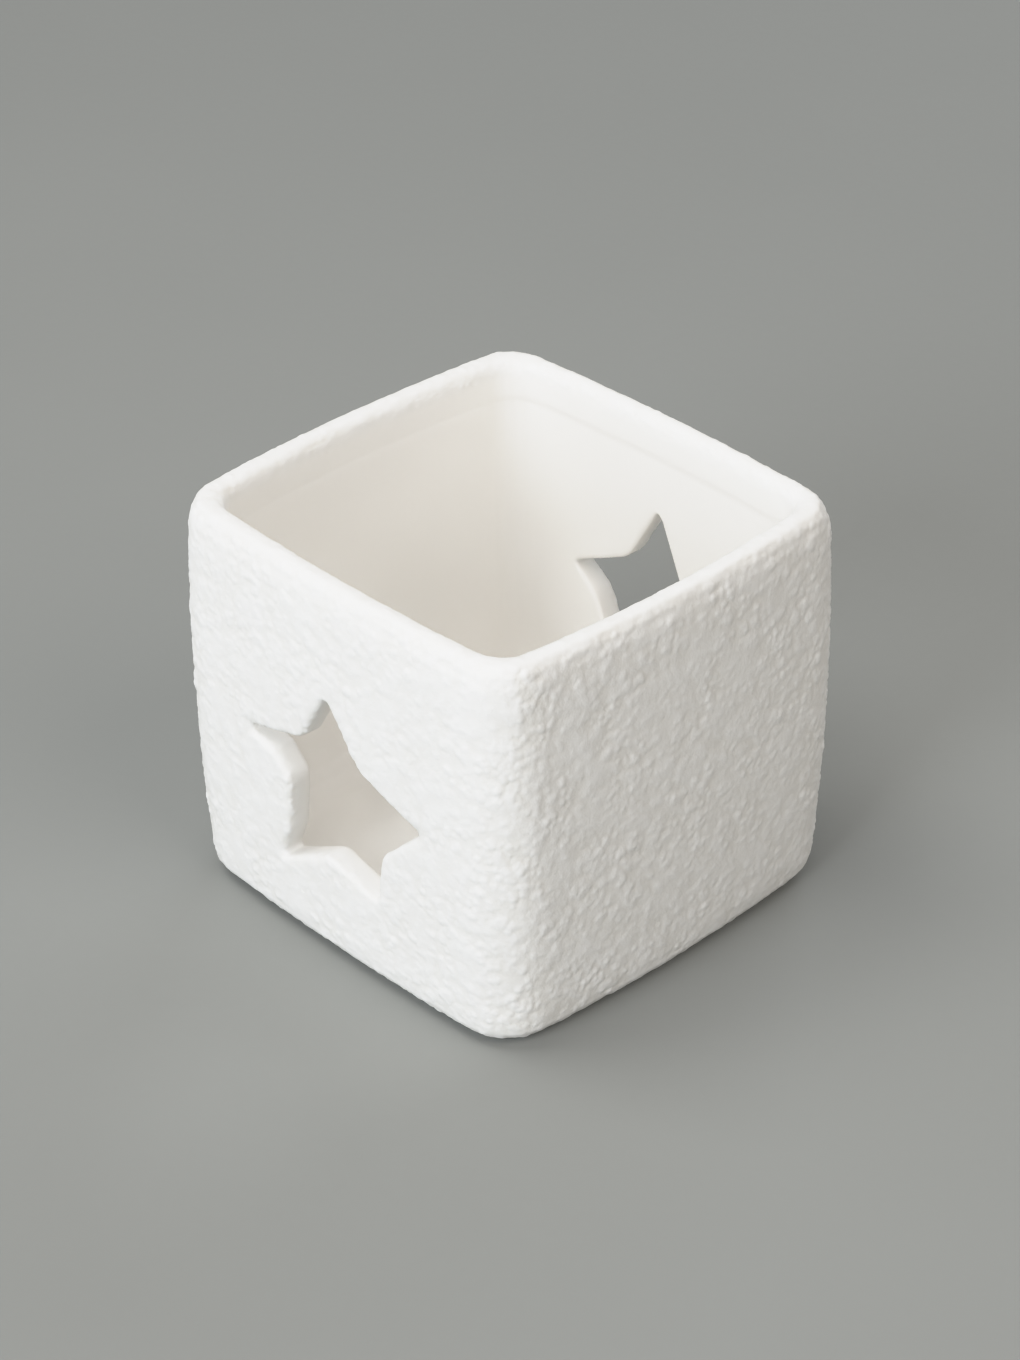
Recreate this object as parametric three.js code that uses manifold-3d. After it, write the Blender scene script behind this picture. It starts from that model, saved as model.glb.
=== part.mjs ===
// Tealight holder: a ceramic cube cup with a star cut through its front and back walls, and its tealight.
// Millimetres, +Z up. Origin: centre of the underside. One star faces -Y (the front), the other +Y.
import * as THREE from "three";
import { mergeVertices } from "three/addons/utils/BufferGeometryUtils.js";
import Module from "manifold-3d";

// ---- Holder: driving dimensions ----
const SIDE = 75; // nominal side at the rim, before the faces swell and crown
const HEIGHT = 71;
const TAPER = 0.7; // how much narrower the side is at the base
const SWELL = 0.95; // how far every face stands out at mid height
const PLAIN_CROWN = 2.15; // how far the plain +X and -X faces crown between their corners
const STAR_CROWN = 1.3; // the same for the -Y and +Y faces, which the stars are cut through
const CORNER_RIM = 6.8; // plan radius of the outer corners at the rim
const CORNER_BASE = 7.9; // and at the base
const BASE_ROUND = 5.5; // radius of the outer bottom edge
const WALL = 4.7;
const FLOOR = 5;
const WELL_CORNER = 4.5; // plan radius of the corners inside
const WELL_FILLET = 6; // radius between the walls and the floor inside

// ---- Rim: an uneven round, wider and deeper on the outside ----
const RIM_CREST = 0.6; // share of the lip that lies outside the crest
const RIM_OUTER_DROP = 6.3; // height of the outer quarter of the round
const RIM_INNER_DROP = 2.6; // height of the inner quarter
const COAT_STEP = 0.25; // the coat turns over the rim and ends inside in a low step
const COAT_DEPTH = 7.6; // how far below the rim that step lies
const COAT_FADE = 0.9; // height over which it fades into the wall
const LIP = WALL + COAT_STEP; // thickness of the wall at the rim, coat and all

// ---- Stars: cut by hand, so each has its own outline. Corners as [x, z, round], anticlockwise as seen
// from outside, with x to the right of the wall's middle and z above the underside ----
const FRONT_STAR = [
  [-0.1, 51.1, 0.8],
  [-6.2, 40.7, 3],
  [-20.5, 36.8, 0.5],
  [-13.2, 35.4, 2.2],
  [-9.3, 31.5, 3],
  [-10.3, 21, 6],
  [-13.4, 14.2, 0.6],
  [-1, 20.9, 4],
  [10.3, 17.9, 0.6],
  [11.5, 26.9, 4],
  [20.5, 35.8, 0.5],
  [7, 41.1, 7],
];
const BACK_STAR = [
  [1.1, 53.4, 0.5],
  [-4.2, 40.6, 3],
  [-19.6, 38, 0.5],
  [-9.5, 31, 5],
  [-12.6, 14.6, 0.6],
  [0, 22, 5],
  [13.2, 15.8, 0.6],
  [13.3, 26, 5],
  [15.4, 31, 8],
  [20.5, 35.7, 0.5],
  [8.3, 41.3, 5],
];
const STAR_EDGE = 1; // round on the outer edge of each star
const STAR_SHARE = 0.45; // most of a side of the outline that a corner's round may take
const STAR_REACH = 15; // how far the cut runs in from the outer surface

// ---- Tealight ----
const GAP = 0.3; // clearance between neighbouring pieces
const CANDLE_X = 2; // a tealight stands loosely in the well, here a little off its middle
const CANDLE_Y = 2;
const CUP_RADIUS = 19;
const CUP_HEIGHT = 15.5;
const CUP_WALL = 0.4;
const CUP_DRAFT = 0.35; // how much narrower the cup is at its base
const CUP_BEAD = 0.45; // radius of the rolled bead at the mouth
const CUP_EDGE = 1; // round between the cup's wall and bottom
const BEAD_START = -60; // where the bead leaves the outside of the wall, in degrees
const BEAD_STEPS = 6;
const EDGE_STEPS = 3;
const WAX_HEIGHT = 11.6;
const WAX_DISH = [
  [13.3, 0.25],
  [6.7, 0.5],
]; // the top of the wax sinks towards the wick: radius and depth of two points on it
const WICK_DIP = 0.4; // depth of the dip at the wick itself
const DISC_RADIUS = 7.5;
const DISC_THICK = 0.4;
const NECK_RADIUS = 1.6;
const NECK_BORE = 1.15;
const NECK_HEIGHT = 3.2;
const WICK_RADIUS = 0.85;
const WICK_STANDS = 7.5; // height of the wick above the wax
const WICK_LEAN = 0.7; // sideways bend of its free end
const WICK_START = 0.2; // how far it has bent half way up
const WICK_STEPS = 10;
const WICK_SIDES = 5;

// ---- Mesh density ----
const CORNER_STEPS = 4;
const FACE_STEPS = 7;
const WALL_STEPS = 7;
const ROUND_STEPS = 4;
const ARC_STEPS = 5;
const LATHE_STEPS = 40;

const wasm = await Module();
wasm.setup();

const degrees = THREE.MathUtils.degToRad;

// Half side of the outer surface at height z, without the crown.
function halfSide(z) {
  const rise = z / HEIGHT;
  return (SIDE - TAPER * (1 - rise)) / 2 + SWELL * 4 * rise * (1 - rise);
}

// One closed level of the body: a rounded square, inset from the outer surface, whose sides crown outwards.
function level(inset, z) {
  const rise = z / HEIGHT;
  const half = halfSide(z) - inset;
  const outerCorner = CORNER_BASE + (CORNER_RIM - CORNER_BASE) * rise;
  const corner = Math.max(outerCorner - inset, WELL_CORNER);
  const flat = half - corner;
  const ring = [];
  const add = (x, y) => {
    const u = x / half;
    const v = y / half;
    const crownX = PLAIN_CROWN * Math.sign(u) * Math.abs(u) ** 3 * (1 - v * v);
    const crownY = STAR_CROWN * Math.sign(v) * Math.abs(v) ** 3 * (1 - u * u);
    ring.push(new THREE.Vector3(x + crownX, y + crownY, z));
  };
  for (let quarter = 0; quarter < 4; quarter++) {
    const turn = (quarter * Math.PI) / 2;
    const place = (x, y) => {
      add(x * Math.cos(turn) - y * Math.sin(turn), x * Math.sin(turn) + y * Math.cos(turn));
    };
    for (let i = 1; i < FACE_STEPS; i++) {
      place(half, flat * ((2 * i) / FACE_STEPS - 1));
    }
    for (let i = 0; i <= CORNER_STEPS; i++) {
      const angle = ((i / CORNER_STEPS) * Math.PI) / 2;
      place(flat + corner * Math.cos(angle), flat + corner * Math.sin(angle));
    }
  }
  return ring;
}

// The levels of the body in order: up the outside, over the rim and down the inside to the floor.
function bodyLevels() {
  const levels = [];
  const arc = (steps, first, make) => {
    for (let i = first; i <= steps; i++) {
      const angle = ((i / steps) * Math.PI) / 2;
      levels.push(make(Math.cos(angle), Math.sin(angle)));
    }
  };
  const crest = LIP * RIM_CREST;
  arc(ROUND_STEPS, 0, (c, s) => level(BASE_ROUND * (1 - s), BASE_ROUND * (1 - c)));
  const wallTop = HEIGHT - RIM_OUTER_DROP;
  for (let i = 1; i < WALL_STEPS; i++) {
    levels.push(level(0, BASE_ROUND + ((wallTop - BASE_ROUND) * i) / WALL_STEPS));
  }
  arc(ROUND_STEPS, 0, (c, s) => level(crest * (1 - c), wallTop + RIM_OUTER_DROP * s));
  arc(ROUND_STEPS, 1, (c, s) => level(crest + (LIP - crest) * s, HEIGHT - RIM_INNER_DROP * (1 - c)));
  levels.push(level(LIP, HEIGHT - COAT_DEPTH + COAT_FADE));
  const coatEnd = HEIGHT - COAT_DEPTH;
  const filletTop = FLOOR + WELL_FILLET;
  for (let i = 0; i < WALL_STEPS; i++) {
    levels.push(level(WALL, coatEnd + ((filletTop - coatEnd) * i) / WALL_STEPS));
  }
  arc(ROUND_STEPS, 0, (c, s) => level(WALL + WELL_FILLET * (1 - c), filletTop - WELL_FILLET * s));
  return levels;
}

// Triangles of the bands between neighbouring rings of count points each.
function bands(count, rings) {
  const faces = [];
  for (let r = 0; r + 1 < rings; r++) {
    for (let i = 0; i < count; i++) {
      const j = (i + 1) % count;
      const a = r * count;
      const b = a + count;
      faces.push(a + i, a + j, b + j, a + i, b + j, b + i);
    }
  }
  return faces;
}

// Joins closed rings of equal length into one surface, with a flat fan over the first and last ring.
function loft(rings) {
  const count = rings[0].length;
  const positions = rings.flat().flatMap((p) => [p.x, p.y, p.z]);
  const faces = bands(count, rings.length);
  const last = (rings.length - 1) * count;
  const first = positions.length / 3;
  positions.push(0, 0, rings[0][0].z, 0, 0, rings[rings.length - 1][0].z);
  for (let i = 0; i < count; i++) {
    const j = (i + 1) % count;
    faces.push(first, j, i, first + 1, last + i, last + j);
  }
  const geometry = new THREE.BufferGeometry();
  geometry.setAttribute("position", new THREE.Float32BufferAttribute(positions, 3));
  return geometry.setIndex(faces);
}

// Outline of a star with its corners rounded, in the plane of a wall. A positive growth moves it outwards.
function starOutline(corners, growth) {
  const points = corners.map(([x, z]) => new THREE.Vector2(x, z));
  const outline = [];
  points.forEach((point, i) => {
    const back = points[(i + points.length - 1) % points.length].clone().sub(point);
    const on = points[(i + 1) % points.length].clone().sub(point);
    const most = STAR_SHARE * Math.min(back.length(), on.length());
    back.normalize();
    on.normalize();
    const half = Math.acos(THREE.MathUtils.clamp(back.dot(on), -1, 1)) / 2;
    const reach = Math.min(corners[i][2] / Math.tan(half), most);
    const radius = reach * Math.tan(half);
    const middle = back.clone().add(on).setLength(radius / Math.sin(half)).add(point);
    const start = back.multiplyScalar(reach).add(point).sub(middle);
    const end = on.multiplyScalar(reach).add(point).sub(middle);
    const sweep = Math.atan2(start.cross(end), start.dot(end));
    const grown = radius + growth * Math.sign(sweep);
    for (let k = 0; k <= ARC_STEPS; k++) {
      const angle = start.angle() + (sweep * k) / ARC_STEPS;
      outline.push(new THREE.Vector2(Math.cos(angle), Math.sin(angle)).multiplyScalar(grown).add(middle));
    }
  });
  return outline;
}

// Distance of the outer surface from the middle plane, at a point of the -Y or +Y wall.
function wallFace(x, z) {
  const half = halfSide(z);
  return half + STAR_CROWN * (1 - (x / half) ** 2);
}

// A plug of the star's shape for the front wall, which widens towards the outer surface to round that edge.
function starCutter(corners) {
  const ring = (growth, depth) =>
    starOutline(corners, growth).map((p) => new THREE.Vector3(p.x, depth - wallFace(p.x, p.y), p.y));
  const rings = [ring(0, STAR_REACH)];
  for (let i = 0; i <= ROUND_STEPS; i++) {
    const angle = ((i / ROUND_STEPS) * Math.PI) / 2;
    rings.push(ring(STAR_EDGE * (1 - Math.cos(angle)), STAR_EDGE * (1 - Math.sin(angle))));
  }
  rings.push(ring(STAR_EDGE, -STAR_EDGE));
  return plug(rings);
}

// Closes a stack of rings with flat ends that follow each ring's outline.
function plug(rings) {
  const count = rings[0].length;
  const positions = rings.flat().flatMap((p) => [p.x, p.y, p.z]);
  const faces = THREE.ShapeUtils.triangulateShape(rings[0].map((p) => new THREE.Vector2(p.x, p.z)), []);
  const last = (rings.length - 1) * count;
  const sides = bands(count, rings.length);
  const ends = faces.flatMap(([a, b, c]) => [a, c, b, last + a, last + b, last + c]);
  const geometry = new THREE.BufferGeometry();
  geometry.setAttribute("position", new THREE.Float32BufferAttribute(positions, 3));
  return geometry.setIndex([...sides, ...ends]);
}

function toSolid(geometry) {
  const bare = geometry.clone();
  bare.deleteAttribute("normal");
  bare.deleteAttribute("uv");
  const merged = mergeVertices(bare, 1e-4);
  return new wasm.Manifold(
    new wasm.Mesh({
      numProp: 3,
      vertProperties: merged.attributes.position.array,
      triVerts: new Uint32Array(merged.index.array),
    }),
  );
}

function toGeometry(solid) {
  const mesh = solid.getMesh();
  const geometry = new THREE.BufferGeometry();
  geometry.setAttribute("position", new THREE.BufferAttribute(mesh.vertProperties, 3));
  geometry.setIndex(new THREE.BufferAttribute(mesh.triVerts, 1));
  geometry.computeVertexNormals();
  return geometry;
}

function holderBody() {
  const front = toSolid(starCutter(FRONT_STAR));
  const back = toSolid(starCutter(BACK_STAR).rotateZ(Math.PI));
  return toGeometry(toSolid(loft(bodyLevels())).subtract(front).subtract(back));
}

// Turned pieces: a closed profile of [radius, height] pairs, listed anticlockwise, spun about the Z axis.
function turned(profile) {
  const points = profile.map(([radius, height]) => new THREE.Vector2(radius, height));
  const geometry = new THREE.LatheGeometry(points, LATHE_STEPS).rotateX(Math.PI / 2);
  return toGeometry(toSolid(geometry));
}

// Points of an arc about [radius, height], from one angle to another in degrees.
function arcPoints(radius, height, size, from, to, steps) {
  return Array.from({ length: steps + 1 }, (_, i) => {
    const angle = degrees(from + ((to - from) * i) / steps);
    return [radius + size * Math.cos(angle), height + size * Math.sin(angle)];
  });
}

// The thin cup, with a round at its bottom edge and a rolled bead round its mouth.
function cup() {
  const base = CUP_RADIUS - CUP_BEAD - CUP_DRAFT;
  const mouth = CUP_RADIUS - CUP_BEAD;
  const beadMiddle = CUP_HEIGHT - CUP_BEAD;
  return turned([
    [0, 0],
    ...arcPoints(base - CUP_EDGE, CUP_EDGE, CUP_EDGE, -90, 0, EDGE_STEPS),
    ...arcPoints(mouth, beadMiddle, CUP_BEAD, BEAD_START, 180, BEAD_STEPS),
    ...arcPoints(base - CUP_EDGE, CUP_EDGE, CUP_EDGE - CUP_WALL, 0, -90, EDGE_STEPS),
    [0, CUP_WALL],
  ]);
}

// Radius of the inside of the cup at height z.
function cupBore(z) {
  const base = CUP_RADIUS - CUP_BEAD - CUP_DRAFT - CUP_WALL;
  return base + CUP_DRAFT * ((z - CUP_EDGE) / (CUP_HEIGHT - CUP_EDGE));
}

// The wax, with a pocket below for the sustainer and a channel for the wick.
function wax() {
  const bottom = CUP_WALL + GAP;
  const pocket = bottom + DISC_THICK + GAP;
  const channel = WICK_RADIUS + GAP;
  const neckPocket = pocket - GAP + NECK_HEIGHT + GAP;
  return turned([
    [DISC_RADIUS + GAP, bottom],
    [cupBore(bottom) - GAP - CUP_EDGE, bottom],
    [cupBore(bottom + CUP_EDGE) - GAP, bottom + CUP_EDGE],
    [cupBore(WAX_HEIGHT) - GAP, WAX_HEIGHT],
    ...WAX_DISH.map(([radius, depth]) => [radius, WAX_HEIGHT - depth]),
    [channel, WAX_HEIGHT - WICK_DIP],
    [channel, neckPocket],
    [NECK_RADIUS + GAP, neckPocket],
    [NECK_RADIUS + GAP, pocket],
    [DISC_RADIUS + GAP, pocket],
    [DISC_RADIUS + GAP, bottom],
  ]);
}

// The disc and neck that hold the wick upright.
function sustainer() {
  const bottom = CUP_WALL + GAP;
  const top = bottom + DISC_THICK;
  return turned([
    [NECK_BORE, bottom],
    [DISC_RADIUS, bottom],
    [DISC_RADIUS, top],
    [NECK_RADIUS, top],
    [NECK_RADIUS, top + NECK_HEIGHT],
    [NECK_BORE, top + NECK_HEIGHT],
    [NECK_BORE, bottom],
  ]);
}

// The wick: straight through the wax, bending a little above it.
function wick() {
  const top = WAX_HEIGHT + WICK_STANDS;
  const path = new THREE.CatmullRomCurve3([
    new THREE.Vector3(0, 0, CUP_WALL + GAP),
    new THREE.Vector3(0, 0, WAX_HEIGHT / 2),
    new THREE.Vector3(0, 0, WAX_HEIGHT),
    new THREE.Vector3(WICK_START, 0, WAX_HEIGHT + WICK_STANDS / 2),
    new THREE.Vector3(WICK_LEAN, 0, top),
  ]);
  const section = new THREE.Shape().absarc(0, 0, WICK_RADIUS, 0, Math.PI * 2);
  const options = { steps: WICK_STEPS, curveSegments: WICK_SIDES, extrudePath: path };
  return new THREE.ExtrudeGeometry(section, options);
}

function piece(name, geometry, color, roughness, metalness) {
  const mesh = new THREE.Mesh(geometry, new THREE.MeshStandardMaterial({ color, roughness, metalness }));
  mesh.name = name;
  return mesh;
}

const holder = new THREE.Group();
holder.add(piece("holder_body", holderBody(), 0xf1f0ec, 0.9, 0));

const tealight = new THREE.Group();
tealight.add(piece("tealight_cup", cup(), 0xd2d4d6, 0.3, 1));
tealight.add(piece("tealight_wax", wax(), 0xf4f0e4, 0.45, 0));
tealight.add(piece("wick_sustainer", sustainer(), 0xb9bbbd, 0.4, 1));
tealight.add(piece("tealight_wick", wick(), 0xefe9dc, 0.95, 0));
tealight.position.set(CANDLE_X, CANDLE_Y, FLOOR + GAP);

const part = new THREE.Group();
part.add(holder, tealight);

export default part;
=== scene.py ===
# Looks of the tealight holder: a white ceramic cube with a sanded coat, and the tealight that stands in it.
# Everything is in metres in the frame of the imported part: +Z up, the front star faces -Y.
import math

import bmesh
import bpy
import numpy as np
from mathutils import Matrix, Vector, noise
from mathutils.bvhtree import BVHTree


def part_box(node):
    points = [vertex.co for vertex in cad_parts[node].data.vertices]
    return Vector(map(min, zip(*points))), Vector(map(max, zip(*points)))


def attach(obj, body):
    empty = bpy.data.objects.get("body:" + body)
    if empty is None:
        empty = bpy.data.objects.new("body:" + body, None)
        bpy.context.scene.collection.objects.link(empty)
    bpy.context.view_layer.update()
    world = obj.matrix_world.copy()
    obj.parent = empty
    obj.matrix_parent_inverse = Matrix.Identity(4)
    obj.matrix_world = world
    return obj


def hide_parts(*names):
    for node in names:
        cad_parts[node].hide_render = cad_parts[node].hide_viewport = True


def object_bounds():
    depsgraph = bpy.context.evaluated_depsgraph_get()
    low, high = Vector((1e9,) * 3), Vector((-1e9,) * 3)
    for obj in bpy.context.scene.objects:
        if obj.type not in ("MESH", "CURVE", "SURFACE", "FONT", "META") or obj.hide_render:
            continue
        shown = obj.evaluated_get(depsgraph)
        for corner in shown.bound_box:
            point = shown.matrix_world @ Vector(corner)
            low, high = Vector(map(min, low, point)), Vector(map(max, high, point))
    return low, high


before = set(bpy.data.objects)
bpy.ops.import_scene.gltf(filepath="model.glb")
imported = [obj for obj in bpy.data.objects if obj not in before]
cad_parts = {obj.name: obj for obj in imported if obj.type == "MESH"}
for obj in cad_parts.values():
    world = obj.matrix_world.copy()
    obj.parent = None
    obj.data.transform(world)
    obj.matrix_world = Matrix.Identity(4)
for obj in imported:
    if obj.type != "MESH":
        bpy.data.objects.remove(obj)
CAD_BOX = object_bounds()
MM = 0.001

# ---- Fine mesh of the holder ----
WELD = 0.001  # corners of the CAD mesh that are closer than this are one, in millimetres
VOXEL = 0.31  # spacing of the fine mesh before it is relieved, in millimetres
EASE_SHARE = 0.5  # how far a smoothing pass moves a point towards the mean of its neighbours
EASE_STEPS = 16  # smoothing passes that take the facets out of it
CORNER_EASE_STEPS = 240  # and passes that let the upright corners run softly into the faces
MOST_TRIANGLES = 430000

# ---- Where the coat carries its relief, in millimetres ----
COAT_TURNS_IN = 7.6  # how far below the rim the coat ends inside
COAT_FADE = 0.9  # height over which it ends
LIP_SHARE = 0.12  # how much of the relief it carries down to there
RIM_INSIDE = (1.5, 4.5)  # depth below the crest over which the relief goes down to that inside
RIM_OUTSIDE = (0.7, 2.2)  # depth below the crest over which the relief comes up outside
RAGGED = (2.4, 1.1)  # size and height of the ragged edge that it comes up along
RIM_SHARE = 0.65  # what is left of it on the crest
RIM_EDGE = 0.4  # how much more of it there is along the ragged edge
CORNER_BUILD = 0.35  # how much more of it the upright corners carry
SKIN = (0.9, 2.2)  # depth below the outer surface over which it dies out in the stars' cut edges
UNDERSIDE = (0.8, 0.98)  # how far a surface faces down, from 0 to 1, where it dies out under the base
WELL = (1.0, 4.0)  # depth below the outer surface over which the slip gives way to plain bisque

# ---- Where the fine mesh leaves the plain rounds and steps of the CAD, in millimetres ----
EASED_BESIDE = (17.0, 25.0)  # distance from the middle of a face over which the easing of the corners sets in
EASED_BELOW_RIM = (3.0, 9.0)  # distance below the rim over which it sets in
EASED_ABOVE_BASE = (4.0, 9.0)  # and above the base
EASED_SKIN = (1.0, 2.5)  # depth below the outer surface over which it ends
RIM_SQUARE = 0.45  # how much fuller the rim's outer shoulder is than a plain round
BASE_SQUARE = 0.35  # and the round of the bottom edge
ROUND_HEIGHT = (4.0, 6.0)  # distance from the rim or the base over which that fullness ends
BACKWARDS = (0.1, 0.6)  # how far a surface faces back, from 0 to 1, where the rim keeps its plain round
COAT_STEP = 0.25  # how far the coat's end inside stands out from the wall
FEATHER = 8.0  # height over which that step is feathered away on the -X wall
WALL_MIDDLE = (22.0, 31.0)  # distance from the middle of the -X wall over which the step comes back
WALL_FACING = (0.5, 0.8)  # how far a surface faces +X, from 0 to 1, before it belongs to that wall

# ---- Relief of the coat, in millimetres: each field has its size and its height ----
LUMP = (3.2, 0.09)
COARSE_GRAIN = (1.7, 0.18)
FINE_GRAIN = (1.0, 0.15)
CRUMB = (0.6, 0.03)
GRAIN_SIZE = (0.55, 0.45)  # mean size of a grain in its field, and how far it varies
GRAIN_REACH = (0.45, 0.35)  # radius of a grain over its field's spacing: what all have, what size adds
GRAIN_POWER = 1.4  # how fast a grain's height falls with its size
GRAIN_SHUFFLE = 37  # stretches the grains' centres, so that neighbours draw sizes of their own
GRAIN_LEVEL = 0.4  # height in a field of grains, from 0 to 1, that lies level with the plain surface
PATCH = 7.0  # size of the patches in which the coat is rougher or smoother
PATCH_SHARE = (0.8, 0.7)  # mean share of the grains' height, and how far the patches vary it
SEED = Vector((17.3, 4.1, 9.7))

# ---- Tealight, in millimetres ----
FOIL = 0.22  # thickness of the cup's foil
BEAD = 0.42  # radius of its rolled lip
CUP_TAPER = 0.35  # how much smaller its radius is at the foot than under the lip
FOOT_ROUND = 1.0  # radius of the round between its bottom and its wall
CUP_MIDDLE = ((0, 0.5), (0.62, 0.5), (0.66, 0.12), (0.7, 0))  # raised bottom: share of the radius, height
FLUTES = 84
SEGMENTS_PER_FLUTE = 4
FLUTE_DEPTH = 0.11  # from the crest of a flute to its groove
FLUTES_BEGIN = (0.6, 2.2)  # height over which they begin
FLUTES_END = (1.6, 0.6)  # distance below the middle of the lip over which they end
WAX_GAP = (0.02, 0.05)  # between wax and foil, at the side and below
WAX_SEGMENTS = 96
WAX_CLIMB = 0.55  # how far the wax climbs the foil
WAX_SINK = 0.5  # how far it sinks in the middle
WAX_ON_WICK = (0.75, 0.9)  # reach and height of the wax that clings to the wick
WAX_LUMP = (6.0, 0.12)  # size and height of its unevenness
WICK_SHORT = (0.4, 0.3)  # how much the braid's line is shorter than the wick, at its foot and its top
WICK_STEPS = 90  # along each strand
WICK_TURNS = 3.2  # of each strand round the wick
STRANDS = 8
STRAND = 0.22  # radius of a strand
BRAID = (0.5, 0.07)  # distance of the strands from the wick's middle, and how far they pass over each other
FIBRES = 14  # that stand out of the frayed end
FIBRE = (0.06, 0.015)  # radius of a frayed fibre at its root and its tip
FIBRE_OUT = (0.1, 0.6)  # least and most distance of a fibre from the wick's middle
FIBRE_RISE = (0.1, 0.35)  # least and most rise over the end
FIBRE_LEAN = 0.175  # how far its tip leans out
FIBRE_ROOT = 0.3  # length of fibre inside the wick
FRAY_SEED = 5

# ---- Camera: it looks down on the corner between the star wall and the plain +X wall ----
AZIMUTH = math.radians(46.75)
ELEVATION = math.radians(33.25)
ROLL = math.radians(-0.59)
AIM = Vector((0.0002, -0.0003, 0.0369))  # the point in the middle of the picture
DISTANCE = 0.5936
LENS_MM = 97.34

# ---- Light and tones ----
LIGHT_DISTANCE = 1.33  # of every light from the origin, in metres
# A tall window in front and soft lights around it. Each has a bearing in degrees from the front towards +X,
# an angle in degrees above the floor, a width and height in metres, watts and a colour.
SOFTBOXES = (
    ("front_window", 7, 20, (0.6, 0.9), 12.5, (0.96, 1.0, 1.04)),
    ("front_right", 35, 55, (0.5, 0.5), 2.1, (1.0, 0.94, 0.87)),
    ("right_card", 92, 20, (0.5, 0.5), 1.25, (1.0, 0.93, 0.86)),
    ("right_high", 90, 50, (0.6, 0.6), 2.9, (1.0, 0.935, 0.88)),
    ("back_right_card", 125, 35, (0.5, 0.5), 1.3, (1.0, 0.95, 0.90)),
    ("back_card", 196, 34, (0.8, 0.5), 4.0, (0.95, 1.0, 1.05)),
    ("overhead_left", -50, 66, (0.6, 0.6), 6.2, (1.0, 0.99, 0.96)),
    ("overhead", -50, 85, (0.5, 0.5), 1.6, (1.0, 0.98, 0.95)),
)
ROOM_COLOUR = (1.0, 0.98, 0.95, 1)
ROOM_STRENGTH = 0.12
KNEE = 0.7  # linear brightness at which the tones start to roll off
SHOULDER = 0.95  # and the brightness that they roll off towards
BRIGHTEST = 1.6
CURVE_AT = (0.5 * KNEE, 0.8, 0.9, 1.0, 1.15, 1.35, BRIGHTEST)  # brightnesses at which the curve has points
FLOOR_FLAT = 1.6  # radius of the flat floor, in metres
FLOOR_CURVE = 0.9  # radius of the curve that it rises in
FLOOR_CURVE_AT = np.linspace(0.1, 1.5, 12)  # angles up that curve, in radians
FLOOR_SEGMENTS = 96


# ---------------------------------------------------------------- meshes

def new_piece(name, mesh, material, slot, body, *nodes):
    """A finished object that stands for CAD nodes and rides on their body."""
    piece = bpy.data.objects.new(name, mesh)
    bpy.context.scene.collection.objects.link(piece)
    mesh.materials.clear()
    mesh.materials.append(material)
    mesh.polygons.foreach_set("use_smooth", [True] * len(mesh.polygons))
    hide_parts(*nodes)
    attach(piece, body)
    return piece


def with_modifiers(mesh, *steps, weights=()):
    """The mesh after a list of (modifier type, settings), applied in order. Its points get the weights in a
    vertex group of that name."""
    carrier = bpy.data.objects.new("work", mesh)
    bpy.context.scene.collection.objects.link(carrier)
    carrier.vertex_groups.clear()
    group = carrier.vertex_groups.new(name="weights")
    for index, weight in enumerate(weights):
        if weight > 0:
            group.add([index], weight, "REPLACE")
    for kind, settings in steps:
        modifier = carrier.modifiers.new(kind.lower(), kind)
        for key, value in settings.items():
            setattr(modifier, key, value)
    depsgraph = bpy.context.evaluated_depsgraph_get()
    made = bpy.data.meshes.new_from_object(
        carrier.evaluated_get(depsgraph), preserve_all_data_layers=True, depsgraph=depsgraph
    )
    bpy.data.objects.remove(carrier)
    return made


def closed_copy(node):
    """A CAD node's mesh with the split corners of its facets joined."""
    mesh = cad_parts[node].data.copy()
    work = bmesh.new()
    work.from_mesh(mesh)
    bmesh.ops.remove_doubles(work, verts=work.verts, dist=WELD * MM)
    work.to_mesh(mesh)
    work.free()
    return mesh


def hull_tree(mesh):
    """A search tree of the mesh's convex hull, which is the holder's outer surface without its openings."""
    work = bmesh.new()
    for vertex in mesh.vertices:
        work.verts.new(vertex.co)
    made = bmesh.ops.convex_hull(work, input=work.verts)
    bmesh.ops.delete(work, geom=made["geom_interior"], context="VERTS")
    tree = BVHTree.FromBMesh(work)
    work.free()
    return tree


def read_vectors(mesh, what):
    """Every point's position ("co") or normal ("normal"), a row each."""
    values = np.zeros(len(mesh.vertices) * 3, np.float32)
    mesh.vertices.foreach_get(what, values)
    return values.reshape(-1, 3).astype(float)


def smoothstep(low, high, value):
    t = np.clip((value - low) / (high - low), 0, 1)
    return t * t * (3 - 2 * t)


def spun(name, profile, segments, shift=None):
    """A profile of (radius, height) pairs in millimetres, spun about the Z axis. It starts at the bottom on
    the axis and ends on the axis too. shift(radius, height, angle) may move a point outwards."""
    work = bmesh.new()
    rings = []
    for radius, height in profile:
        if not radius:
            rings.append([work.verts.new((0, 0, height * MM))] * segments)
            continue
        ring = []
        for i in range(segments):
            angle = 2 * math.pi * i / segments
            r = radius + (shift(radius, height, angle) if shift else 0)
            ring.append(work.verts.new((r * MM * math.cos(angle), r * MM * math.sin(angle), height * MM)))
        rings.append(ring)
    for low, high in zip(rings, rings[1:]):
        for i in range(segments):
            j = (i + 1) % segments
            corners = [low[i], low[j], high[j], high[i]]
            corners = [c for k, c in enumerate(corners) if c not in corners[:k]]
            if len(corners) > 2:
                work.faces.new(corners)
    bmesh.ops.recalc_face_normals(work, faces=work.faces)
    mesh = bpy.data.meshes.new(name)
    work.to_mesh(mesh)
    work.free()
    return mesh


def arc(radius, height, size, start, end, steps):
    """Points of an arc about (radius, height), between two angles in degrees."""
    angles = [math.radians(start + (end - start) * i / steps) for i in range(steps + 1)]
    return [(radius + size * math.cos(a), height + size * math.sin(a)) for a in angles]


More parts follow.
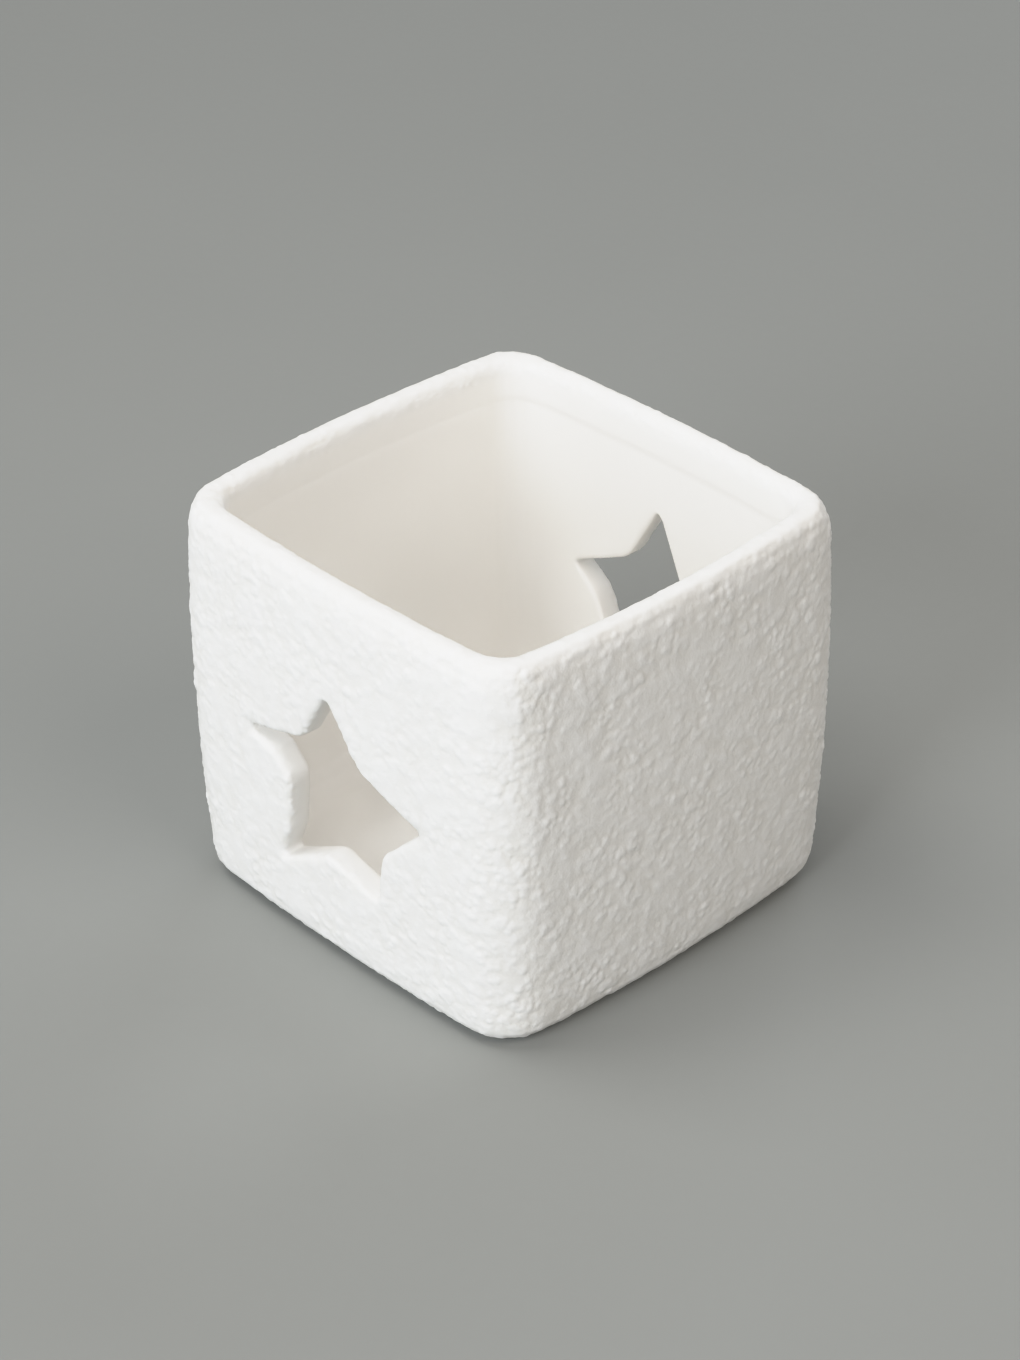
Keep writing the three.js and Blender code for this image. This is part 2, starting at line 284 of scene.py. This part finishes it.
# ---------------------------------------------------------------- coat of the holder

def below_the_rim(points):
    """How far each point lies below the top of the holder, in millimetres."""
    return (CAD_BOX[1][2] - points[:, 2]) / MM


def coat_share(points, normals, depth):
    """How much of the coat's relief each point carries: all of it outside, less on the rim, more along the
    rim's ragged edge and on the upright corners, none in the well or under the base."""
    below_rim = below_the_rim(points)
    ragged = np.array([noise.noise(Vector(p) / (RAGGED[0] * MM) + SEED) for p in points]) * RAGGED[1]
    crest = 1 - smoothstep(*RIM_OUTSIDE, below_rim + ragged)
    over_rim = 1 - (1 - RIM_SHARE) * crest + RIM_EDGE * 4 * crest * (1 - crest)
    corner = 1 + CORNER_BUILD * 4 * (normals[:, 0] * normals[:, 1]) ** 2
    outside = over_rim * corner * (1 - smoothstep(*SKIN, depth))
    inside = RIM_SHARE * (1 - smoothstep(*RIM_INSIDE, below_rim))
    lip = LIP_SHARE * (1 - smoothstep(COAT_TURNS_IN - COAT_FADE, COAT_TURNS_IN, below_rim))
    underside = smoothstep(*UNDERSIDE, -normals[:, 2])
    return np.maximum(outside, np.maximum(inside, lip)) * (1 - underside)


def corner_weights(points, depth):
    """1 on the upright corners' outer surface and the ends of the faces beside them, 0 elsewhere."""
    beside = smoothstep(*EASED_BESIDE, np.minimum(np.abs(points[:, 0]), np.abs(points[:, 1])) / MM)
    upright = smoothstep(*EASED_BELOW_RIM, below_the_rim(points))
    upright *= smoothstep(*EASED_ABOVE_BASE, points[:, 2] / MM)
    return beside * upright * (1 - smoothstep(*EASED_SKIN, depth))


def square_shoulders(points, normals):
    """How far the outer rounds of the rim and the base are filled, in millimetres: most where they face half
    up or half down. The rim over the back star stays round."""
    rise = np.arcsin(np.clip(normals[:, 2], -1, 1))
    outwards = normals[:, 0] * points[:, 0] + normals[:, 1] * points[:, 1] > 0
    near_rim = (1 - smoothstep(*ROUND_HEIGHT, below_the_rim(points))) * (rise > 0)
    near_rim *= 1 - smoothstep(*BACKWARDS, normals[:, 1])
    near_base = (1 - smoothstep(*ROUND_HEIGHT, points[:, 2] / MM)) * (rise < 0)
    return np.sin(2 * rise) ** 2 * outwards * (RIM_SQUARE * near_rim + BASE_SQUARE * near_base)


def feathered_step(points, normals):
    """How far the wall at -X is filled below the coat's end inside, in millimetres: there the coat has no
    step, and runs out to nothing."""
    below_rim = below_the_rim(points)
    middle = 1 - smoothstep(*WALL_MIDDLE, np.abs(points[:, 1]) / MM)
    on_wall = smoothstep(*WALL_FACING, normals[:, 0]) * (points[:, 0] < 0) * middle
    filled = smoothstep(COAT_TURNS_IN - COAT_FADE, COAT_TURNS_IN + COAT_FADE, below_rim)
    run_out = 1 - smoothstep(COAT_TURNS_IN, COAT_TURNS_IN + FEATHER, below_rim)
    return COAT_STEP * on_wall * filled * run_out


def grains(point, spacing):
    """Height from 0 to 1 of a field of round grains that differ in size, some too small to see."""
    distances, centres = noise.voronoi(point / spacing + SEED)
    height = 0
    for distance, centre in zip(distances, centres):
        size = GRAIN_SIZE[0] + GRAIN_SIZE[1] * noise.cell(centre * GRAIN_SHUFFLE)
        reach = GRAIN_REACH[0] + GRAIN_REACH[1] * size
        height = max(height, size**GRAIN_POWER * (1 - (distance / reach) ** 2))
    return height


def coat_height(point):
    """Height of the coat's relief at a point over the plain surface, in millimetres."""
    p = point / MM
    patch = PATCH_SHARE[0] + PATCH_SHARE[1] * noise.noise(p / PATCH - SEED)
    lumps = LUMP[1] * noise.noise(p / LUMP[0] + SEED)
    coarse = COARSE_GRAIN[1] * (grains(p, COARSE_GRAIN[0]) - GRAIN_LEVEL)
    fine = FINE_GRAIN[1] * (grains(p, FINE_GRAIN[0]) - GRAIN_LEVEL)
    crumbs = CRUMB[1] * noise.noise(p / CRUMB[0] - SEED)
    return lumps + patch * (coarse + fine) + crumbs


def store(mesh, name, values):
    """Keeps a value for every point, which a material reads by name."""
    kept = mesh.attributes.new(name, "FLOAT", "POINT")
    kept.data.foreach_set("value", values.astype(np.float32))


def coated_body():
    """The holder's casting with its sanded coat as real relief."""
    plain = closed_copy("holder_body")
    tree = hull_tree(plain)
    fine = with_modifiers(
        plain,
        ("REMESH", {"mode": "VOXEL", "voxel_size": VOXEL * MM}),
        ("SMOOTH", {"factor": EASE_SHARE, "iterations": EASE_STEPS}),
    )
    points = read_vectors(fine, "co")
    depth = np.array([tree.find_nearest(Vector(p))[3] for p in points]) / MM
    ease = {"factor": EASE_SHARE, "iterations": CORNER_EASE_STEPS, "vertex_group": "weights"}
    fine = with_modifiers(fine, ("SMOOTH", ease), weights=corner_weights(points, depth))
    points = read_vectors(fine, "co")
    normals = read_vectors(fine, "normal")
    share = coat_share(points, normals, depth)
    shape = feathered_step(points, normals) + square_shoulders(points, normals)
    relief = np.array([coat_height(Vector(p)) * s if s > 0 else 0 for p, s in zip(points, share)])
    moved = points + normals * ((relief + shape) * MM)[:, None]
    moved[:, 2] = np.maximum(moved[:, 2], 0)
    fine.vertices.foreach_set("co", moved.ravel())
    store(fine, "coat", share)
    store(fine, "relief", relief)
    store(fine, "inside", smoothstep(*WELL, depth))
    triangles = 2 * len(fine.polygons)
    if triangles > MOST_TRIANGLES:
        fine = with_modifiers(fine, ("DECIMATE", {"ratio": MOST_TRIANGLES / triangles}))
    return fine


def holder():
    """The ceramic cube cup, one fired piece."""
    cup = coated_body()
    new_piece("holder_cup_coated", cup, ceramic_material(), "sand_coated_ceramic", "holder", "holder_body")


# ---------------------------------------------------------------- materials

def feed(socket, value):
    """Gives a node's input a plain value, or links another node's output to it."""
    if isinstance(value, bpy.types.NodeSocket):
        socket.id_data.links.new(value, socket)
    else:
        socket.default_value = value


def node_material(name, **sockets):
    """A material with one Principled shader, a helper that adds nodes, and one that feeds the shader."""
    material = bpy.data.materials.new(name)
    material.use_nodes = True
    tree = material.node_tree
    shader = tree.nodes["Principled BSDF"]

    def add(kind, settings=None, **inputs):
        node = tree.nodes.new("ShaderNode" + kind)
        for key, value in (settings or {}).items():
            setattr(node, key, value)
        for socket, value in inputs.items():
            feed(node.inputs[socket.replace("_", " ")], value)
        return node

    def link(value, socket):
        feed(shader.inputs[socket], value)

    for socket, value in sockets.items():
        link(value, socket.replace("_", " "))
    return material, add, link


def place(add, scale=(1, 1, 1)):
    """Coordinates in the object's own space, in metres, stretched by scale."""
    coordinates = add("TexCoord").outputs["Object"]
    return add("Mapping", Vector=coordinates, Scale=scale).outputs["Vector"]


def mottle(add, size, detail=3.0, roughness=0.55, scale=(1, 1, 1)):
    """Noise from 0 to 1 with features of that size in millimetres."""
    return add(
        "TexNoise", Vector=place(add, scale), Scale=1 / (size * MM), Detail=detail, Roughness=roughness
    ).outputs["Fac"]


def spread(add, value, low, high, out_low, out_high):
    """The value stretched from low..high to out_low..out_high, and no further."""
    return add(
        "MapRange", Value=value, From_Min=low, From_Max=high, To_Min=out_low, To_Max=out_high
    ).outputs["Result"]


def drift(add, size, low, high, edge=0.3, **look):
    """Patches of that size in millimetres that drift between low and high. A larger edge is sharper."""
    return spread(add, mottle(add, size, **look), edge, 1 - edge, low, high)


def attribute(add, name):
    """A value that the mesh keeps for every point."""
    return add("Attribute", {"attribute_name": name}).outputs["Fac"]


def blend_colours(add, share, first, second):
    """A colour between the first and the second. A Mix node has its colour sockets after its other ones."""
    mix = add("Mix", {"data_type": "RGBA"})
    feed(mix.inputs[0], share)
    feed(mix.inputs[6], first)
    feed(mix.inputs[7], second)
    return mix.outputs[2]


def two_tone(add, first, second, size, **look):
    """Two colours that run into each other in patches of that size in millimetres."""
    return blend_colours(add, drift(add, size, 0, 1, **look), first, second)


def bumps(add, size, height, strength, under=None, **look):
    """Bumps of that size and height in millimetres, laid over others where under is their normal."""
    bump = add("Bump", Strength=strength, Distance=height * MM, Height=mottle(add, size, **look))
    if under is not None:
        feed(bump.inputs["Normal"], under)
    return bump.outputs["Normal"]


def ceramic_material():
    """White sanded slip outside, plain bisque inside: matte, with painted shade, darker and warmer, in the
    hollows of the coat.
    """
    dull, bright = (0.905, 0.898, 0.88, 1), (0.925, 0.92, 0.905, 1)
    # painted shade: a darker, warmer colour for the hollows of the coat, where shade falls
    painted_hollow_shade = (0.84, 0.82, 0.775, 1)
    bisque = (0.955, 0.937, 0.905, 1)
    material, add, link = node_material("sand_coated_ceramic", Specular_IOR_Level=0.35)
    coat = attribute(add, "coat")

    slip = two_tone(add, dull, bright, size=14, edge=0.35)
    # painted shade: the lower the coat's relief at a point, the more of that darker colour it gets
    hollow_shade_share = spread(add, attribute(add, "relief"), low=-0.14, high=0.02, out_low=0.55, out_high=0)
    slip = blend_colours(add, hollow_shade_share, slip, painted_hollow_shade)
    link(blend_colours(add, attribute(add, "inside"), slip, bisque), "Base Color")

    rough = add("Math", {"operation": "ADD"})
    feed(rough.inputs[0], spread(add, coat, low=0, high=1, out_low=0.62, out_high=0.84))
    feed(rough.inputs[1], drift(add, size=1.1, low=-0.07, high=0.07))
    link(rough.outputs[0], "Roughness")

    sanded = spread(add, coat, low=0, high=1, out_low=0.05, out_high=0.5)
    sand = bumps(add, size=0.4, height=0.12, strength=sanded, detail=4, roughness=0.6)
    trowelled = bumps(add, size=3.0, height=0.15, strength=0.12, under=sand, detail=2, scale=(1, 1, 0.15))
    link(trowelled, "Normal")
    return material


def aluminium_material():
    """Drawn foil, brushed up its wall."""
    dull, bright = (0.83, 0.84, 0.85, 1), (0.91, 0.915, 0.92, 1)
    material, add, link = node_material("cup_aluminium", Metallic=1.0)
    link(two_tone(add, dull, bright, size=5, edge=0.35, scale=(1, 1, 0.3)), "Base Color")
    link(drift(add, size=0.8, low=0.2, high=0.36, scale=(1, 1, 0.08)), "Roughness")
    link(bumps(add, size=0.35, height=0.03, strength=0.25, detail=2, scale=(1, 1, 0.05)), "Normal")
    return material


def wax_material():
    """Cloudy white wax that lets a little light through."""
    thick, thin = (0.83, 0.80, 0.73, 1), (0.90, 0.885, 0.84, 1)
    material, add, link = node_material(
        "candle_wax",
        Subsurface_Weight=0.35,
        Subsurface_Radius=(3.0 * MM, 2.2 * MM, 1.4 * MM),
        Subsurface_Scale=1.0,
        Specular_IOR_Level=0.45,
    )
    link(two_tone(add, thick, thin, size=5, detail=4), "Base Color")
    link(drift(add, size=1.6, low=0.3, high=0.52), "Roughness")
    link(bumps(add, size=1.2, height=0.08, strength=0.3, detail=5, roughness=0.65), "Normal")
    return material


def tinplate_material():
    """Rolled tinplate, a little dull."""
    dull, bright = (0.60, 0.61, 0.62, 1), (0.74, 0.75, 0.76, 1)
    material, add, link = node_material("sustainer_tinplate", Metallic=1.0)
    link(two_tone(add, dull, bright, size=2.0, edge=0.35), "Base Color")
    link(drift(add, size=0.5, low=0.26, high=0.44, scale=(1, 0.1, 1)), "Roughness")
    link(bumps(add, size=0.2, height=0.02, strength=0.3, detail=2, scale=(1, 0.08, 1)), "Normal")
    return material


def cotton_material():
    """Waxed cotton, with fibres along the wick."""
    waxed, dry = (0.74, 0.70, 0.61, 1), (0.88, 0.86, 0.80, 1)
    material, add, link = node_material(
        "wick_cotton", Sheen_Weight=0.25, Sheen_Roughness=0.5, Specular_IOR_Level=0.3
    )
    link(two_tone(add, waxed, dry, size=0.6, detail=4), "Base Color")
    link(drift(add, size=0.4, low=0.6, high=0.85), "Roughness")
    link(bumps(add, size=0.09, height=0.03, strength=0.5, detail=2, scale=(1, 1, 0.2)), "Normal")
    return material


def floor_material():
    """Grey studio paper, a little uneven in tone."""
    dark, light = (0.289, 0.297, 0.287, 1), (0.300, 0.308, 0.298, 1)
    material, add, link = node_material("studio_paper", Specular_IOR_Level=0.2)
    link(two_tone(add, dark, light, size=160), "Base Color")
    link(drift(add, size=2.5, low=0.82, high=0.92), "Roughness")
    return material


# ---------------------------------------------------------------- tealight

def candle_place():
    """Centre of the tealight's underside."""
    low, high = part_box("tealight_cup")
    return Vector(((low.x + high.x) / 2, (low.y + high.y) / 2, low.z))


def cup_mesh(radius, height):
    """The foil cup: fluted wall, stepped bottom and a lip rolled outwards."""
    wall = radius - 2 * BEAD
    foot = wall - CUP_TAPER
    lip = height - BEAD
    wall_height = lip - BEAD - FOOT_ROUND
    middle = [(foot * share, rise) for share, rise in CUP_MIDDLE]

    def foot_arc(inset, start, end, steps):
        return arc(foot - FOOT_ROUND, FOOT_ROUND, FOOT_ROUND - inset, start, end, steps)

    def up_the_wall(inset, *shares):
        return [(foot + CUP_TAPER * t - inset, FOOT_ROUND + wall_height * t) for t in shares]

    def flute(r, z, angle):
        if r < foot - 2 * FOOT_ROUND:
            return 0
        begun = smoothstep(*FLUTES_BEGIN, z)
        ended = smoothstep(lip - FLUTES_END[0], lip - FLUTES_END[1], z)
        return -FLUTE_DEPTH * float(begun * (1 - ended)) * (0.5 + 0.5 * math.cos(FLUTES * angle))

    outside = [*middle, *foot_arc(0, -90, 0, 5), *up_the_wall(0, 0.1, 0.3, 0.5, 0.7, 0.85, 0.95)]
    rolled = arc(wall + BEAD, lip, BEAD, -150, 170, 9)
    inside = [*up_the_wall(FOIL, 0.95, 0.85, 0.5, 0.1), *foot_arc(FOIL, 0, -90, 4)]
    inside += [(r, z + FOIL) for r, z in reversed(middle)]
    return spun("tealight_cup_foil", outside + rolled + inside, FLUTES * SEGMENTS_PER_FLUTE, flute)


def wax_mesh(radius, bottom, top):
    """The wax: it climbs the foil at its edge, sinks towards the middle and clings to the wick."""
    edge = radius - WAX_GAP[0]
    reach, mound = WAX_ON_WICK
    ring = [edge * t for t in (0.9, 0.8, 0.65, 0.5, 0.35, 0.22, 0.14, 0.1, 0.07, 0.05)]
    profile = [
        (0, bottom),
        (edge - 1.4, bottom),
        (edge - 0.6, bottom + 0.4),
        (edge - 0.25, bottom + 1.2),
        (edge, top + WAX_CLIMB),
        (edge - 0.15, top + WAX_CLIMB * 0.75),
        (edge - 0.6, top + WAX_CLIMB * 0.25),
        (edge - 1.3, top),
        *[(r, top - WAX_SINK * (1 - (r / edge) ** 2) + mound * math.exp(-r / reach)) for r in ring],
        (0, top - WAX_SINK + mound),
    ]
    mesh = spun("tealight_wax_fill", profile, WAX_SEGMENTS)
    size, height = WAX_LUMP
    points = read_vectors(mesh, "co")
    upper = smoothstep((top - 2 * WAX_SINK) * MM, (top - 0.6 * WAX_SINK) * MM, points[:, 2])
    off_the_foil = np.hypot(points[:, 0], points[:, 1]) < (edge - 1) * MM
    lumps = np.array([noise.noise(Vector(p) / (size * MM)) for p in points]) * height * MM
    points[:, 2] += upper * lumps * off_the_foil
    mesh.vertices.foreach_set("co", points.ravel())
    return mesh


def tube(work, path, radius, sides=6):
    """A closed tube along a list of points, added to a bmesh. radius(share of the way) is in metres."""
    rings = []
    across = (path[1] - path[0]).orthogonal()
    for k, point in enumerate(path):
        ahead = path[min(k + 1, len(path) - 1)] - path[max(k - 1, 0)]
        across = (across - ahead * (across.dot(ahead) / ahead.length_squared)).normalized()
        other = ahead.normalized().cross(across)
        r = radius(k / (len(path) - 1))
        ring = []
        for i in range(sides):
            angle = 2 * math.pi * i / sides
            ring.append(work.verts.new(point + (across * math.cos(angle) + other * math.sin(angle)) * r))
        rings.append(ring)
    for low, high in zip(rings, rings[1:]):
        for i in range(sides):
            j = (i + 1) % sides
            work.faces.new((low[i], low[j], high[j], high[i]))
    work.faces.new(rings[0][::-1])
    work.faces.new(rings[-1])


def wick_mesh(start, end, lean):
    """A braid of strands that pass over and under each other along a bent line, frayed at its end."""
    work = bmesh.new()

    def centre(t):
        return Vector((lean * MM * t * t, 0, (start + (end - start) * t) * MM))

    def outwards(angle):
        return Vector((math.cos(angle), math.sin(angle), 0))

    for strand in range(STRANDS):
        way = 1 if strand % 2 else -1
        path = []
        for k in range(WICK_STEPS + 1):
            t = k / WICK_STEPS
            turn = 2 * math.pi * WICK_TURNS * t
            angle = way * turn + 2 * math.pi * strand / STRANDS
            over = BRAID[0] + BRAID[1] * math.cos(STRANDS * turn + math.pi * strand)
            path.append(centre(t) + outwards(angle) * over * MM)
        tube(work, path, lambda t: STRAND * MM)
    rng = np.random.default_rng(FRAY_SEED)
    for _ in range(FIBRES):
        away = outwards(rng.uniform(0, 2 * math.pi))
        foot = centre(1) + away * rng.uniform(*FIBRE_OUT) * MM
        tip = foot + (away * FIBRE_LEAN + Vector((0, 0, rng.uniform(*FIBRE_RISE)))) * MM
        root = foot - Vector((0, 0, FIBRE_ROOT * MM))
        tube(work, [root, foot, tip], lambda t: (FIBRE[0] + (FIBRE[1] - FIBRE[0]) * t) * MM, 4)
    bmesh.ops.recalc_face_normals(work, faces=work.faces)
    mesh = bpy.data.meshes.new("tealight_wick_braid")
    work.to_mesh(mesh)
    work.free()
    return mesh


def tealight():
    """The tealight's pieces, sized and placed from their CAD nodes. The sustainer keeps its CAD mesh."""
    at = candle_place()
    low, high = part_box("tealight_cup")
    radius = (high.x - low.x) / 2 / MM
    height = (high.z - low.z) / MM
    wax_top = (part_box("tealight_wax")[1].z - at.z) / MM
    wick_low, wick_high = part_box("tealight_wick")
    lean = (wick_high.x + wick_low.x - 2 * at.x) / MM
    wick_start = (wick_low.z - at.z) / MM + WICK_SHORT[0]
    wick_end = (wick_high.z - at.z) / MM - WICK_SHORT[1]
    inside = radius - 2 * BEAD - CUP_TAPER - FOIL
    wax_bottom = CUP_MIDDLE[0][1] + FOIL + WAX_GAP[1]
    cup = cup_mesh(radius, height)
    wax = wax_mesh(inside, wax_bottom, wax_top)
    wick = wick_mesh(wick_start, wick_end, lean)
    for mesh in (cup, wax, wick):
        mesh.transform(Matrix.Translation(at))
    new_piece("tealight_cup_foil", cup, aluminium_material(), "cup_aluminium", "tealight", "tealight_cup")
    new_piece("tealight_wax_fill", wax, wax_material(), "candle_wax", "tealight", "tealight_wax")
    new_piece("tealight_wick_braid", wick, cotton_material(), "wick_cotton", "tealight", "tealight_wick")
    tinplate = tinplate_material()
    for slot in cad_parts["wick_sustainer"].material_slots:
        slot.material = tinplate


# ---------------------------------------------------------------- studio

def studio_floor():
    """A round sheet of paper that curves up far from the object, so that every side has the same backdrop."""
    mesh = bpy.data.meshes.new("studio_floor")
    work = bmesh.new()
    profile = [(0.0, 0.0), (FLOOR_FLAT * 0.5, 0.0), (FLOOR_FLAT, 0.0)]
    for a in FLOOR_CURVE_AT:
        profile.append((FLOOR_FLAT + FLOOR_CURVE * math.sin(a), FLOOR_CURVE * (1 - math.cos(a))))
    rings = []
    for radius, height in profile:
        count = FLOOR_SEGMENTS if radius else 1
        angles = [2 * math.pi * i / FLOOR_SEGMENTS for i in range(count)]
        rings.append([work.verts.new((radius * math.cos(a), radius * math.sin(a), height)) for a in angles])
    for low, high in zip(rings, rings[1:]):
        for i in range(FLOOR_SEGMENTS):
            j = (i + 1) % FLOOR_SEGMENTS
            first = (low[0],) if len(low) == 1 else (low[j], low[i])
            work.faces.new((*first, high[i], high[j]))
    work.to_mesh(mesh)
    work.free()
    mesh.materials.append(floor_material())
    mesh.polygons.foreach_set("use_smooth", [True] * len(mesh.polygons))
    floor = bpy.data.objects.new("studio_floor", mesh)
    bpy.context.scene.collection.objects.link(floor)


def softbox(name, bearing, height, size, watts, colour):
    """A rectangular area light that faces the object."""
    light = bpy.data.lights.new(name, "AREA")
    light.shape = "RECTANGLE"
    light.size, light.size_y = size
    light.energy = watts
    light.color = colour
    lamp = bpy.data.objects.new(name, light)
    turn, rise = math.radians(bearing), math.radians(height)
    way = Vector((math.sin(turn) * math.cos(rise), -math.cos(turn) * math.cos(rise), math.sin(rise)))
    lamp.location = way * LIGHT_DISTANCE
    lamp.rotation_euler = way.to_track_quat("Z", "Y").to_euler()
    bpy.context.scene.collection.objects.link(lamp)


def studio_lights():
    """The softboxes and the room's own dim light."""
    for box in SOFTBOXES:
        softbox(*box)
    world = bpy.data.worlds.new("studio")
    world.use_nodes = True
    background = world.node_tree.nodes["Background"]
    background.inputs["Color"].default_value = ROOM_COLOUR
    background.inputs["Strength"].default_value = ROOM_STRENGTH
    bpy.context.scene.world = world


def film_curve():
    """Plain colours up to KNEE, above which bright tones roll off towards SHOULDER, as on film."""
    view = bpy.context.scene.view_settings
    view.view_transform = "Standard"
    view.use_curve_mapping = True
    mapping = view.curve_mapping
    mapping.clip_max_x = BRIGHTEST
    combined = mapping.curves[3]
    combined.points[1].location = (KNEE, KNEE)
    for x in CURVE_AT:
        rise = (SHOULDER - KNEE) * (1 - math.exp(-(x - KNEE) / (SHOULDER - KNEE)))
        combined.points.new(x, x if x < KNEE else KNEE + rise)
    mapping.update()


def camera():
    """Looks at AIM from AZIMUTH round from the front and ELEVATION above the floor."""
    right = Vector((math.cos(AZIMUTH), math.sin(AZIMUTH), 0))
    back = Vector((
        math.sin(AZIMUTH) * math.cos(ELEVATION),
        -math.cos(AZIMUTH) * math.cos(ELEVATION),
        math.sin(ELEVATION),
    ))
    up = back.cross(right)
    turned_right = right * math.cos(ROLL) + up * math.sin(ROLL)
    turned_up = up * math.cos(ROLL) - right * math.sin(ROLL)
    lens = bpy.data.cameras.new("camera")
    lens.lens = LENS_MM
    lens.clip_start = 0.01
    eye = bpy.data.objects.new("camera", lens)
    rotation = Matrix((turned_right, turned_up, back)).transposed()
    eye.matrix_world = Matrix.Translation(AIM + back * DISTANCE) @ rotation.to_4x4()
    bpy.context.scene.collection.objects.link(eye)
    bpy.context.scene.camera = eye


camera()
studio_floor()
studio_lights()
film_curve()
holder()
tealight()
